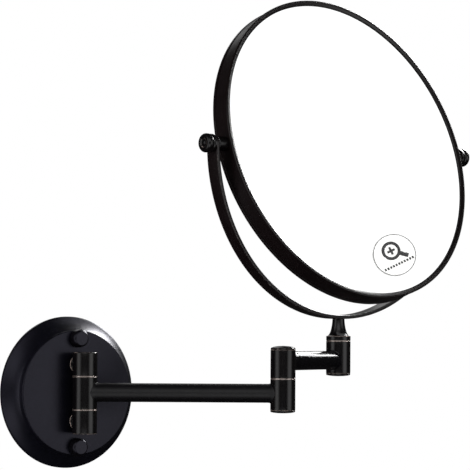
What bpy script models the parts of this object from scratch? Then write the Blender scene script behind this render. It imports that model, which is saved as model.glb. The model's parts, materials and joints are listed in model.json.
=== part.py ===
"""A wall-mounted, double-sided shaving mirror on a two-section swing arm.

Origin: centre of the wall plate's back face. +Z is up, +X is to the right seen from the room, and the
wall is the plane y = 0, with the object on its -Y side. Lengths are in metres.

The arm's joints, from the wall out: a vertical hinge at the wall, a vertical elbow, a vertical swivel
under the mirror, and the horizontal pivot that the mirror tilts on, clamped by two thumb knobs.
"""

from math import cos, pi, radians, sin, sqrt

import bpy
from mathutils import Matrix, Vector

# ---- Driving dimensions -------------------------------------------------------------------------
MIRROR_RADIUS = 0.1016
MIRROR_DEPTH = 0.0140
BEZEL_WIDTH = 0.0034
BEZEL_SKIRT = 0.0024
GLASS_RECESS = 0.0014
GLASS_THICKNESS = 0.0030
GLASS_SAG = 0.0040

YOKE_OUTER_RADIUS = 0.1084
YOKE_THICKNESS = 0.0024
YOKE_WIDTH = 0.0100
YOKE_RISE = 0.0004
HEAD_SHIFT = 0.0029
KNOB_RADIUS = 0.0060
KNOB_LENGTH = 0.0068

BARREL_RADIUS = 0.0078
ARM_RADIUS = 0.0059
ARM_WALL = 0.0013
ARM_RISE = 0.0005
LONG_ARM = 0.1249
SHORT_ARM = 0.0641
SHORT_ARM_HEIGHT = 0.0206
PIVOT_HEIGHT = 0.1550

PLATE_RADIUS = 0.0479
PLATE_FACE_RADIUS = 0.0394
PLATE_DEPTH = 0.0138
PLATE_WALL = 0.0012
HINGE_OFFSET = 0.0233
STUD_HEIGHT = 0.0342
STUB_HEIGHT = 0.0179

PIN_RADIUS = 0.0030
GAP = 0.0003
WASHER = 0.0005

# ---- Rest pose: angles about +Z measured from +X, and the mirror's tilt back --------------------
LONG_ARM_ANGLE = radians(-40.85)
SHORT_ARM_ANGLE = radians(21.45)
YOKE_ANGLE = radians(7.4)
MIRROR_TILT = radians(18.0)

# ---- Facets -------------------------------------------------------------------------------------
RIM_SIDES = 44
PLATE_SIDES = 36
BARREL_SIDES = 20
SMALL_SIDES = 12
SMOOTH_ANGLE = radians(35)

BORE_RADIUS = PIN_RADIUS + GAP
RECESS_RADIUS = 0.0054
FASTENER_RADIUS = 0.0050
KNUCKLE_JOINT = 0.0102
KNUCKLE_END = 0.0256
ELBOW_JOINT = 0.0093
ELBOW_BOTTOM = -0.0100
ELBOW_TOP = 0.0276
FRONT_BOTTOM = 0.0121
FRONT_TOP = 0.0323
POST_COLLAR_TOP = 0.0360
PLATE_OUT = (pi / 2, 0.0, 0.0)
ALONG_X = (0.0, pi / 2, 0.0)


def clear_scene():
    for old in list(bpy.data.objects):
        bpy.data.objects.remove(old, do_unlink=True)


def new_collection(name, hidden):
    group = bpy.data.collections.new(name)
    bpy.context.scene.collection.children.link(group)
    group.hide_render = hidden
    return group


clear_scene()
PARTS = new_collection("shaving_mirror", hidden=False)
CUTTERS = new_collection("cutters", hidden=True)


# ---- Materials ----------------------------------------------------------------------------------
def make_material(name, colour, roughness, metallic):
    material = bpy.data.materials.new(name)
    material.use_nodes = True
    shader = material.node_tree.nodes["Principled BSDF"]
    shader.inputs["Base Color"].default_value = (*colour, 1.0)
    shader.inputs["Roughness"].default_value = roughness
    shader.inputs["Metallic"].default_value = metallic
    return material


DARK_BRONZE = make_material("dark_bronze", (0.018, 0.015, 0.015), 0.38, 0.9)
PLATE_BRONZE = make_material("plate_bronze", (0.022, 0.020, 0.024), 0.48, 0.8)
RUBBED_BRONZE = make_material("rubbed_bronze", (0.42, 0.33, 0.29), 0.35, 1.0)
STEEL = make_material("zinc_steel", (0.55, 0.56, 0.57), 0.35, 1.0)
NYLON = make_material("black_nylon", (0.03, 0.03, 0.03), 0.55, 0.0)
MIRROR_GLASS = make_material("mirror_glass", (0.92, 0.93, 0.94), 0.02, 1.0)
BACKING = make_material("grey_backing", (0.30, 0.30, 0.31), 0.8, 0.0)
LABEL_PAPER = make_material("label_paper", (0.93, 0.93, 0.91), 0.6, 0.0)


# ---- Joint frames: an empty on each joint's axis ------------------------------------------------
def joint_frame(name, location, rotation, parent=None):
    empty = bpy.data.objects.new(name, None)
    PARTS.objects.link(empty)
    empty.empty_display_size = 0.01
    empty.location = location
    empty.rotation_euler = rotation
    empty.parent = parent
    return empty


WALL = joint_frame("wall_frame", (0, 0, 0), (0, 0, 0))
HINGE = joint_frame("hinge_axis", (0, -HINGE_OFFSET, 0), (0, 0, LONG_ARM_ANGLE), WALL)
ELBOW = joint_frame("elbow_axis", (LONG_ARM, 0, ARM_RISE), (0, 0, SHORT_ARM_ANGLE - LONG_ARM_ANGLE), HINGE)
SWIVEL = joint_frame("swivel_axis", (SHORT_ARM, 0, 0), (0, 0, YOKE_ANGLE - SHORT_ARM_ANGLE), ELBOW)
TILT = joint_frame("tilt_axis", (0, 0, PIVOT_HEIGHT), (-MIRROR_TILT, 0, 0), SWIVEL)
HEAD = joint_frame("head_centre", (HEAD_SHIFT, 0, 0), (0, 0, 0), TILT)


# ---- Modelling helpers --------------------------------------------------------------------------
def place(thing, material, parent, location=(0, 0, 0), rotation=(0, 0, 0), group=PARTS):
    group.objects.link(thing)
    thing.parent = parent
    thing.location = location
    thing.rotation_euler = rotation
    if material:
        thing.data.materials.append(material)
    if group is CUTTERS:
        thing.hide_render = True
        thing.display_type = "WIRE"
    return thing


def turned(name, profile, sides, material, parent, ring=False, group=PARTS, **where):
    """A turned piece: profile is (radius, height) pairs down the outer side, spun about local Z.

    A ring's profile closes on itself; any other starts and ends on the axis.
    """
    mesh = bpy.data.meshes.new(name)
    points = [(radius, 0.0, height) for radius, height in profile]
    edges = [(i, i + 1) for i in range(len(points) - 1)]
    if ring:
        edges.append((len(points) - 1, 0))
    mesh.from_pydata(points, edges, [])
    piece = place(bpy.data.objects.new(name, mesh), material, parent, group=group, **where)
    spin = piece.modifiers.new("spin", "SCREW")
    spin.axis = "Z"
    spin.angle = 2 * pi
    spin.steps = sides
    spin.render_steps = sides
    spin.use_merge_vertices = True
    spin.merge_threshold = 0.00001
    spin.use_smooth_shade = True
    return piece


def disc(radius, low, high):
    return [(0, high), (radius, high), (radius, low), (0, low)]


def sleeve(outer, inner, low, high):
    return [(outer, high), (outer, low), (inner, low), (inner, high)]


def chamfered_disc(radius, low, high, edge):
    return [(0, high), (radius - edge, high), (radius, high - edge), (radius, low), (0, low)]


def cut(piece, cutter, operation="DIFFERENCE"):
    boolean = piece.modifiers.new(operation.lower(), "BOOLEAN")
    boolean.operation = operation
    boolean.solver = "EXACT"
    boolean.object = cutter
    return piece


def drill(piece, name, radius, low, high, parent, sides=SMALL_SIDES, **where):
    """Cuts a round hole from low to high along the cutter's local Z."""
    return cut(piece, turned(name, disc(radius, low, high), sides, None, parent, group=CUTTERS, **where))


def join(piece, name, profile, parent, sides=BARREL_SIDES, **where):
    """Adds a turned shape to a piece, so that both are one solid."""
    return cut(piece, turned(name, profile, sides, None, parent, group=CUTTERS, **where), "UNION")


def block(name, size, centre, parent, material=None, group=CUTTERS):
    """A box of the given size, built at its centre so that its scale stays 1."""
    bpy.ops.mesh.primitive_cube_add(size=1.0)
    box = bpy.context.active_object
    box.name = name
    box.data.transform(Matrix.Diagonal((*size, 1.0)))
    for holder in list(box.users_collection):
        holder.objects.unlink(box)
    return place(box, material, parent, location=centre, group=group)


def arc(centre, radii, start, end, count):
    """Points on an elliptical arc of a profile, angles in degrees from the radial direction."""
    steps = [radians(start + (end - start) * i / (count - 1)) for i in range(count)]
    return [(centre[0] + radii[0] * cos(a), centre[1] + radii[1] * sin(a)) for a in steps]


# ---- Wall mount ---------------------------------------------------------------------------------
def wall_plate():
    """A spun escutcheon: flat face, short side wall, concave cove and a beaded lip on the wall."""
    face = PLATE_FACE_RADIUS
    cove_centre = (PLATE_RADIUS - 0.0016, 0.0088)
    cove_radii = (cove_centre[0] - face, 0.0055)
    inner_radii = (cove_radii[0] + PLATE_WALL, cove_radii[1] + PLATE_WALL)
    outside = [(0, PLATE_DEPTH), (face - 0.0010, PLATE_DEPTH), (face - 0.0003, PLATE_DEPTH - 0.0003)]
    outside += [(face, PLATE_DEPTH - 0.0010)]
    outside += arc(cove_centre, cove_radii, 180, 270, 5)
    outside += [(PLATE_RADIUS - 0.0005, 0.0027), (PLATE_RADIUS, 0.0017), (PLATE_RADIUS, 0)]
    inside = [(PLATE_RADIUS - PLATE_WALL, 0), (PLATE_RADIUS - PLATE_WALL, 0.0013)]
    inside += arc(cove_centre, inner_radii, 270, 180, 3)
    inside += [(face - PLATE_WALL, PLATE_DEPTH - PLATE_WALL), (0, PLATE_DEPTH - PLATE_WALL)]
    plate = turned("wall_plate", outside + inside, PLATE_SIDES, PLATE_BRONZE, WALL, rotation=PLATE_OUT)
    for side in (-1, 1):
        for height, radius in ((STUD_HEIGHT, 0.0023), (STUB_HEIGHT, 0.0021)):
            name = f"plate_hole_{round(side * height * 10000)}"
            at = (0, 0, side * height)
            drill(plate, name, radius, 0.010, 0.016, WALL, location=at, rotation=PLATE_OUT)


def wall_bracket():
    """A flat steel bar behind the plate, which is screwed to the wall and carries the two studs."""
    thickness = 0.0020
    width = 0.0170
    half_length = 0.0410
    bracket = block(
        "wall_bracket", (width, thickness, 2 * half_length), (0, -thickness / 2, 0), WALL, STEEL, PARTS
    )
    corners = bracket.modifiers.new("corners", "BEVEL")
    corners.width = 0.0040
    corners.segments = 3
    corners.limit_method = "WEIGHT"
    weights = bracket.data.attributes.new("bevel_weight_edge", "FLOAT", "EDGE")
    for index, edge in enumerate(bracket.data.edges):
        ends = [bracket.data.vertices[v].co for v in edge.vertices]
        weights.data[index].value = float(abs(ends[0].y - ends[1].y) > thickness / 2)
    for side in (-1, 1):
        holes = (("stud_seat", 0.0022, 0, STUD_HEIGHT), ("screw_hole", 0.0025, 0, 0.0120))
        holes += (("spare_screw_hole", 0.0025, 0.0045, 0.0225),)
        for name, radius, across, height in holes:
            at = (side * across, 0, side * height)
            drill(bracket, f"{name}_{side}", radius, -0.001, 0.003, WALL, location=at, rotation=PLATE_OUT)


def stud(name, side):
    """A short stud pressed into the bracket, with a collar on the bracket's front."""
    profile = [(0, 0.0178), (0.0015, 0.0178), (0.0019, 0.0174), (0.0019, 0.0038), (0.0034, 0.0038)]
    profile += [(0.0034, 0.0023), (0.0019, 0.0023), (0.0019, 0.0004), (0, 0.0004)]
    turned(name, profile, SMALL_SIDES, STEEL, WALL, location=(0, 0, side * STUD_HEIGHT), rotation=PLATE_OUT)


def cap_nut(name, side):
    """A blind round nut with a rounded shoulder, which draws the plate back over the bracket."""
    base = PLATE_DEPTH + GAP
    height = 0.0054
    radius = 0.0057
    profile = [(0, base + height), (radius - 0.0017, base + height)]
    profile += arc((radius - 0.0017, base + height - 0.0018), (0.0015, 0.0018), 75, 10, 3)
    profile += [(radius, base + 0.0012), (radius, base), (0.0022, base), (0.0022, base + 0.0040)]
    profile += [(0, base + 0.0040)]
    turned(name, profile, 16, DARK_BRONZE, WALL, location=(0, 0, side * STUD_HEIGHT), rotation=PLATE_OUT)


def fixed_knuckle(name, side):
    """One of the two hinge barrels held off the plate by a round stub."""
    joint = KNUCKLE_JOINT + WASHER + GAP
    edge = 0.0005
    outline = [(0, KNUCKLE_END), (BARREL_RADIUS - edge, KNUCKLE_END), (BARREL_RADIUS, KNUCKLE_END - edge)]
    outline += [(BARREL_RADIUS, joint), (BORE_RADIUS, joint), (BORE_RADIUS, 0.0223), (0, 0.0223)]
    flip = (0, 0, 0) if side > 0 else (pi, 0, 0)
    at = (0, -HINGE_OFFSET, 0)
    knuckle = turned(name, outline, BARREL_SIDES, DARK_BRONZE, WALL, location=at, rotation=flip)
    back = PLATE_DEPTH + GAP
    end = HINGE_OFFSET - BORE_RADIUS - 0.0010
    stub = [(0, end), (0.0048, end), (0.0048, back + 0.0010), (0.0058, back + 0.0007)]
    stub += [(0.0058, back), (0, back)]
    at = (0, 0, side * STUB_HEIGHT)
    join(knuckle, name + "_stub", stub, WALL, sides=16, location=at, rotation=PLATE_OUT)
    drill(knuckle, name + "_tap", 0.0019, 0.012, end - 0.0002, WALL, location=at, rotation=PLATE_OUT)


def knuckle_screw(name, side):
    """A pan-head screw from behind the plate into a fixed knuckle's stub."""
    seat = PLATE_DEPTH - PLATE_WALL - GAP
    tip = HINGE_OFFSET - BORE_RADIUS - 0.0016
    profile = [(0, tip), (0.0016, tip), (0.0016, seat), (0.0035, seat), (0.0035, seat - 0.0012)]
    profile += [(0.0026, seat - 0.0021), (0, seat - 0.0021)]
    turned(name, profile, SMALL_SIDES, STEEL, WALL, location=(0, 0, side * STUB_HEIGHT), rotation=PLATE_OUT)


def wall_mount():
    wall_plate()
    wall_bracket()
    at = (0, -HINGE_OFFSET, 0)
    pin = chamfered_disc(PIN_RADIUS, -0.0220, 0.0220, 0.0004)
    turned("hinge_pin", pin, SMALL_SIDES, STEEL, WALL, location=at)
    for word, side in (("upper", 1), ("lower", -1)):
        stud(f"{word}_stud", side)
        cap_nut(f"{word}_cap_nut", side)
        fixed_knuckle(f"{word}_knuckle", side)
        knuckle_screw(f"{word}_knuckle_screw", side)
        low = side * KNUCKLE_JOINT if side > 0 else -KNUCKLE_JOINT - WASHER
        ring = sleeve(BARREL_RADIUS, BORE_RADIUS, low, low + WASHER)
        turned(f"{word}_hinge_washer", ring, BARREL_SIDES, RUBBED_BRONZE, WALL, ring=True, location=at)


# ---- Arms ---------------------------------------------------------------------------------------
def arm_tube(name, length, height, parent):
    """A round tube between two barrels, its ends cut to the barrels' curve."""
    tube = turned(
        name, sleeve(ARM_RADIUS, ARM_RADIUS - ARM_WALL, 0.0045, length - 0.0045), 20, DARK_BRONZE, parent,
        ring=True, location=(0, 0, height), rotation=ALONG_X,
    )
    for end in (0.0, length):
        drill(tube, f"{name}_saddle_{round(end * 1000)}", BARREL_RADIUS + GAP, height - 0.01, height + 0.01,
              parent, sides=BARREL_SIDES, location=(end, 0, 0))


def spigot(knuckle, parent, height, direction):
    """The plug on a barrel that the arm tube is pushed over and brazed to."""
    radius = ARM_RADIUS - ARM_WALL - GAP
    turn = ALONG_X if direction > 0 else (0, -pi / 2, 0)
    join(knuckle, knuckle.name + "_spigot", chamfered_disc(radius, 0.0055, 0.0150, 0.0006), parent,
         sides=SMALL_SIDES, location=(0, 0, height), rotation=turn)


def barrel(name, low, high, parent, recess_low=0.0, recess_high=0.0):
    """A bored barrel; a recess widens the bore at one end for a nut, a bolt head or a cap."""
    edge = 0.0004
    outline = [(BARREL_RADIUS - edge, high), (BARREL_RADIUS, high - edge), (BARREL_RADIUS, low + edge)]
    outline += [(BARREL_RADIUS - edge, low)]
    if recess_low:
        outline += [(RECESS_RADIUS, low), (RECESS_RADIUS, low + recess_low), (BORE_RADIUS, low + recess_low)]
    else:
        outline += [(BORE_RADIUS, low)]
    if recess_high:
        outline += [(BORE_RADIUS, high - recess_high), (RECESS_RADIUS, high - recess_high)]
        outline += [(RECESS_RADIUS, high)]
    else:
        outline += [(BORE_RADIUS, high)]
    return turned(name, outline, BARREL_SIDES, DARK_BRONZE, parent, ring=True)


def domed_cap(name, base, direction, dome, plug, parent):
    """A thin cap on a barrel's end; a plug lets into the recess where there is room for one."""
    edge = 0.0008
    outline = arc((0, base + edge), (BARREL_RADIUS, dome), 90, 12, 4)
    outline[0] = (0, base + edge + dome)
    outline += [(BARREL_RADIUS, base + 0.0002), (BARREL_RADIUS - 0.0002, base)]
    if plug:
        outline += [(RECESS_RADIUS - GAP, base), (RECESS_RADIUS - GAP, base - plug), (0, base - plug)]
    else:
        outline += [(0, base)]
    flip = (0, 0, 0) if direction > 0 else (pi, 0, 0)
    turned(name, outline, BARREL_SIDES, DARK_BRONZE, parent, rotation=flip)


def hex_nut(name, low, high, parent):
    """A hexagon nut with a clear hole."""
    nut = turned(name, disc(FASTENER_RADIUS, low, high), 6, STEEL, parent)
    return drill(nut, name + "_hole", BORE_RADIUS, low - 0.001, high + 0.001, parent)


def spring_washer(name, low, rise, parent):
    """A shallow cone of spring steel, which keeps the joint stiff."""
    inner = BORE_RADIUS
    outer = FASTENER_RADIUS
    outline = [(outer, low + 0.0004), (outer, low), (inner, low + rise), (inner, low + rise + 0.0004)]
    turned(name, outline, SMALL_SIDES, STEEL, parent, ring=True)


def long_arm():
    root = barrel("hinge_knuckle", -KNUCKLE_JOINT + GAP, KNUCKLE_JOINT - GAP, HINGE)
    spigot(root, HINGE, ARM_RISE, 1)
    drill(root, "hinge_knuckle_bore", BORE_RADIUS, -0.012, 0.012, HINGE)
    arm_tube("long_arm_tube", LONG_ARM, ARM_RISE, HINGE)
    seat = joint_frame("elbow_seat", (LONG_ARM, 0, ARM_RISE), (0, 0, 0), HINGE)
    lower = barrel("elbow_lower_knuckle", ELBOW_BOTTOM, ELBOW_JOINT - GAP, seat, recess_low=0.0040)
    spigot(lower, seat, 0, -1)
    domed_cap("elbow_bottom_cap", -ELBOW_BOTTOM + GAP, -1, 0.0010, 0, seat)
    bolt = [(0, 0.0262), (PIN_RADIUS - 0.0004, 0.0262), (PIN_RADIUS, 0.0258)]
    bolt += [(PIN_RADIUS, ELBOW_BOTTOM + 0.0037), (FASTENER_RADIUS, ELBOW_BOTTOM + 0.0037)]
    bolt += [(FASTENER_RADIUS, ELBOW_BOTTOM + 0.0007), (0, ELBOW_BOTTOM + 0.0007)]
    turned("elbow_bolt", bolt, SMALL_SIDES, STEEL, seat)
    hex_nut("elbow_nut", 0.0222, 0.0252, seat)
    washer = sleeve(BARREL_RADIUS, BORE_RADIUS, ELBOW_JOINT, ELBOW_JOINT + WASHER)
    turned("elbow_washer", washer, BARREL_SIDES, RUBBED_BRONZE, seat, ring=True)


def short_arm():
    low = ELBOW_JOINT + WASHER + GAP
    upper = barrel("elbow_upper_knuckle", low, ELBOW_TOP, ELBOW, recess_high=0.0072)
    spigot(upper, ELBOW, SHORT_ARM_HEIGHT, 1)
    drill(upper, "elbow_upper_bore", RECESS_RADIUS, ELBOW_TOP - 0.0072, 0.030, ELBOW)
    spring_washer("elbow_spring_washer", 0.0206, 0.0009, ELBOW)
    domed_cap("elbow_top_cap", ELBOW_TOP + GAP, 1, 0.0016, 0.0009, ELBOW)
    arm_tube("short_arm_tube", SHORT_ARM, SHORT_ARM_HEIGHT, ELBOW)
    seat = joint_frame("front_seat", (SHORT_ARM, 0, 0), (0, 0, 0), ELBOW)
    front = barrel("front_knuckle", FRONT_BOTTOM, FRONT_TOP, seat, recess_low=0.0046)
    spigot(front, seat, SHORT_ARM_HEIGHT, -1)
    domed_cap("front_bottom_cap", -FRONT_BOTTOM + GAP, -1, 0.0010, 0, seat)
    washer = sleeve(BARREL_RADIUS, BORE_RADIUS, FRONT_TOP + GAP, FRONT_TOP + GAP + WASHER)
    turned("swivel_washer", washer, BARREL_SIDES, RUBBED_BRONZE, seat, ring=True)


# ---- Post and yoke ------------------------------------------------------------------------------
SCREW_HEAD_RADIUS = 0.0034
SCREW_RECESS = 0.0014


def mirror_post():
    """A collar the size of the barrels that sweeps in to a slim neck under the yoke."""
    low = FRONT_TOP + 2 * GAP + WASHER
    top = PIVOT_HEIGHT + YOKE_RISE - YOKE_OUTER_RADIUS - GAP
    collar = POST_COLLAR_TOP
    neck = 0.0038
    flare_height = 0.0130
    shoulder = BARREL_RADIUS - 0.0003
    flare = arc((shoulder, collar + flare_height), (shoulder - neck, flare_height), 192, 268, 8)
    outline = [(0, top), (neck, top)] + flare
    outline += [(BARREL_RADIUS, collar - 0.0002), (BARREL_RADIUS, low + 0.0004)]
    outline += [(BARREL_RADIUS - 0.0004, low)]
    outline += [(BORE_RADIUS, low), (BORE_RADIUS, 0.0390), (0, 0.0390)]
    post = turned("mirror_post", outline, BARREL_SIDES, DARK_BRONZE, SWIVEL)
    drill(post, "post_tap", 0.0019, 0.0415, 0.0500, SWIVEL)
    bolt = [(0, 0.0385), (PIN_RADIUS - 0.0003, 0.0385), (PIN_RADIUS, 0.0382), (PIN_RADIUS, 0.0152)]
    bolt += [(FASTENER_RADIUS, 0.0152), (FASTENER_RADIUS, 0.0126), (0, 0.0126)]
    turned("swivel_bolt", bolt, SMALL_SIDES, STEEL, SWIVEL)
    spring_washer("swivel_spring_washer", 0.01545, 0.0005, SWIVEL)


def yoke_point(radius, side):
    """Where a circle of the yoke crosses the pivot's height."""
    return side * sqrt(radius**2 - YOKE_RISE**2)


def yoke():
    """A half ring of flat strip with rounded ends, holed for the pivots and recessed for the post screw."""
    inner = YOKE_OUTER_RADIUS - YOKE_THICKNESS
    half = YOKE_WIDTH / 2
    outline = sleeve(YOKE_OUTER_RADIUS, inner, -half, half)
    centre = (0, 0, PIVOT_HEIGHT + YOKE_RISE)
    band = turned("yoke", outline, 64, DARK_BRONZE, SWIVEL, ring=True, location=centre, rotation=PLATE_OUT)
    upper_half = (0.30, 0.03, 0.15)
    cut(band, block("yoke_upper_half", upper_half, (0, 0, PIVOT_HEIGHT + upper_half[2] / 2), SWIVEL))
    for word, side in (("left", -1), ("right", 1)):
        turn = (0, side * pi / 2, 0)
        at = (0, 0, PIVOT_HEIGHT)
        near = abs(yoke_point(inner, side)) + 0.00005
        far = abs(yoke_point(YOKE_OUTER_RADIUS, side)) - 0.00005
        join(band, f"{word}_yoke_end", disc(half, near, far), SWIVEL, sides=16, location=at, rotation=turn)
        drill(band, f"{word}_pivot_hole", 0.0024, 0.10, 0.12, SWIVEL, location=at, rotation=turn)
    drill(band, "post_screw_hole", 0.0019, 0.04, 0.06, SWIVEL)
    drill(band, "post_screw_recess", SCREW_HEAD_RADIUS + GAP, screw_seat(), 0.06, SWIVEL)


def screw_seat():
    """How high the floor of the post screw's recess is."""
    return PIVOT_HEIGHT + YOKE_RISE - YOKE_OUTER_RADIUS + YOKE_THICKNESS - SCREW_RECESS


def post_screw():
    """The screw that holds the yoke on the post, its low head let into the yoke."""
    seat = screw_seat() + GAP
    top = seat + SCREW_RECESS - 2 * GAP
    outline = [(0, top), (SCREW_HEAD_RADIUS - 0.0004, top), (SCREW_HEAD_RADIUS, top - 0.0003)]
    outline += [(SCREW_HEAD_RADIUS, seat)]
    outline += [(0.0016, seat), (0.0016, 0.0420), (0, 0.0420)]
    turned("post_screw", outline, SMALL_SIDES, STEEL, SWIVEL)


# ---- Mirror head: local -Y is the magnifying side's outward direction ---------------------------
DRUM_OUTER = MIRROR_RADIUS - 0.0004
DRUM_WALL = 0.0010
DRUM_HALF = MIRROR_DEPTH / 2 - BEZEL_SKIRT
GLASS_RADIUS = DRUM_OUTER - DRUM_WALL - 0.0005
GLASS_EDGE = MIRROR_DEPTH / 2 - GLASS_RECESS
LABEL_ANGLE = radians(18.9)


def bezel(name, side):
    """A rolled ring that holds one glass in the drum, with a lip over the glass's edge."""
    front = MIRROR_DEPTH / 2
    lip = MIRROR_RADIUS - BEZEL_WIDTH
    skirt = DRUM_OUTER - DRUM_WALL
    outline = [(lip + 0.0004, front), (MIRROR_RADIUS - 0.0008, front)]
    outline += [(MIRROR_RADIUS - 0.0002, front - 0.0003), (MIRROR_RADIUS, front - 0.0010)]
    outline += [(MIRROR_RADIUS, DRUM_HALF + GAP), (skirt, DRUM_HALF + GAP)]
    outline += [(skirt, GLASS_EDGE + GAP), (lip, GLASS_EDGE + GAP), (lip, front - 0.0004)]
    turn = (side * pi / 2, 0, 0)
    turned(name, outline, RIM_SIDES, DARK_BRONZE, HEAD, ring=True, rotation=turn)


def drum():
    wall = turned(
        "mirror_rim", sleeve(DRUM_OUTER, DRUM_OUTER - DRUM_WALL, -DRUM_HALF, DRUM_HALF), RIM_SIDES,
        DARK_BRONZE, HEAD, ring=True, rotation=PLATE_OUT,
    )
    for word, side in (("left", -1), ("right", 1)):
        drill(wall, f"{word}_boss_hole", 0.0036, 0.09, 0.11, HEAD, rotation=(0, side * pi / 2, 0))


def glasses():
    """A dished magnifying glass in front, a flat one behind, and a foam pad between them."""
    dish_radius = (GLASS_RADIUS**2 + GLASS_SAG**2) / (2 * GLASS_SAG)
    rings = [GLASS_RADIUS * i / 3 for i in range(4)]
    face = [(r, GLASS_EDGE - GLASS_SAG + dish_radius - sqrt(dish_radius**2 - r**2)) for r in rings]
    back = [(r, h - GLASS_THICKNESS) for r, h in reversed(face)]
    turned("magnifying_glass", face + back, RIM_SIDES, MIRROR_GLASS, HEAD, rotation=PLATE_OUT)
    pad_face = [(r, h - GLASS_THICKNESS - GAP) for r, h in face]
    pad_back = -GLASS_EDGE + GLASS_THICKNESS + GAP
    pad_ring = GLASS_RADIUS - 0.0008
    pad = [(r, max(h, pad_back + 0.0004)) for r, h in pad_face[1:-1]]
    pad += [(pad_ring, pad_face[-1][1] - 0.0002), (pad_ring, pad_back), (pad_face[1][0], pad_back)]
    turned("foam_pad", pad, RIM_SIDES, BACKING, HEAD, ring=True, rotation=PLATE_OUT)
    flat = disc(GLASS_RADIUS, -GLASS_EDGE, -GLASS_EDGE + GLASS_THICKNESS)
    turned("plain_glass", flat, RIM_SIDES, MIRROR_GLASS, HEAD, rotation=PLATE_OUT)


def oval(name, half_length, half_width, low, high, sides, material, parent):
    """A thin flat oval from low to high on local Z, its long axis on local X."""
    turns = [2 * pi * i / sides for i in range(sides)]
    points = [(half_length * cos(a), half_width * sin(a), z) for z in (low, high) for a in turns]
    faces = [tuple(range(sides))[::-1], tuple(range(sides, 2 * sides))]
    for i in range(sides):
        onward = (i + 1) % sides
        faces.append((i, onward, onward + sides, i + sides))
    mesh = bpy.data.meshes.new(name)
    mesh.from_pydata(points, [], faces)
    return place(bpy.data.objects.new(name, mesh), material, parent)


def label():
    """An oval peel-off label near the lower edge of the dished glass, lying on its slope."""
    across, up = 0.0217, -0.0716
    distance = sqrt(across**2 + up**2)
    dish_radius = (GLASS_RADIUS**2 + GLASS_SAG**2) / (2 * GLASS_SAG)
    depth = GLASS_EDGE - GLASS_SAG + dish_radius - sqrt(dish_radius**2 - distance**2)
    normal = Vector((-across, -sqrt(dish_radius**2 - distance**2), -up)).normalized()
    long_axis = Vector((cos(LABEL_ANGLE), 0, sin(LABEL_ANGLE)))
    long_axis = (long_axis - normal * long_axis.dot(normal)).normalized()
    sticker = oval("magnification_label", 0.0205, 0.0138, 0.0004, 0.0006, 32, LABEL_PAPER, HEAD)
    sticker.location = (across, -depth, up)
    turn = Matrix((long_axis, normal.cross(long_axis), normal)).transposed()
    sticker.rotation_euler = turn.to_euler()


def pivot(word, side):
    """The boss riveted in the drum, the washer beside it and the thumb knob whose screw it takes."""
    turn = (0, side * pi / 2, 0)
    wall = DRUM_OUTER + side * HEAD_SHIFT
    boss_low = wall + GAP
    boss_end = wall - DRUM_WALL - 0.0001
    washer_low = YOKE_OUTER_RADIUS - YOKE_THICKNESS - 0.0008
    boss = [(0.0046, washer_low - GAP - 0.0003), (0.0046, boss_low), (0.0033, boss_low), (0.0033, boss_end)]
    boss += [(0.0023, boss_end), (0.0023, washer_low - GAP), (0.0043, washer_low - GAP)]
    turned(f"{word}_pivot_boss", boss, SMALL_SIDES, DARK_BRONZE, TILT, ring=True, rotation=turn)
    washer_top = abs(yoke_point(YOKE_OUTER_RADIUS - YOKE_THICKNESS, side)) - GAP
    washer = sleeve(0.0044, 0.0023, washer_low, washer_top)
    turned(f"{word}_pivot_washer", washer, SMALL_SIDES, NYLON, TILT, ring=True, rotation=turn)
    low = YOKE_OUTER_RADIUS + GAP
    top = low + KNOB_LENGTH
    waist = low + 0.0022
    knob = [(0, top)] + arc((KNOB_RADIUS - 0.0024, top - 0.0020), (0.0024, 0.0020), 78, 6, 4)
    knob += [(KNOB_RADIUS - 0.0001, waist + 0.0009), (KNOB_RADIUS - 0.0006, waist + 0.0004)]
    knob += [(KNOB_RADIUS - 0.0006, waist), (KNOB_RADIUS - 0.0002, waist - 0.0004)]
    knob += [(KNOB_RADIUS - 0.0002, low + 0.0004), (KNOB_RADIUS - 0.0006, low)]
    knob += [(0.0020, low), (0.0020, boss_end), (0, boss_end)]
    turned(f"{word}_knob", knob, 16, DARK_BRONZE, TILT, rotation=turn)


def mirror_head():
    drum()
    bezel("front_bezel", 1)
    bezel("rear_bezel", -1)
    glasses()
    label()
    pivot("left", -1)
    pivot("right", 1)


def shade():
    """Marks the edges sharper than the smooth angle, so flats and steps stay crisp."""
    for piece in PARTS.objects:
        if piece.type == "MESH":
            piece.data.shade_smooth()
            piece.data.set_sharp_from_angle(angle=SMOOTH_ANGLE)


wall_mount()
long_arm()
short_arm()
mirror_post()
yoke()
post_screw()
mirror_head()
shade()
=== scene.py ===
"""Looks of the wall-mounted shaving mirror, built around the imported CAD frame.

Lengths are in metres in the frame's own axes: +Z is up, the wall is the plane y = 0 and the room is on -Y.
Nearly every part was turned on a lathe, so most pieces here are spun from a rounded outline. Each point of
a piece carries a "wear" value, which is where hands and polishing have rubbed the dark coat through.
"""

import json
from math import asin, atan2, cos, degrees, hypot, pi, radians, sin, sqrt

import bmesh
import bpy
from mathutils import Matrix, Vector


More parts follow.
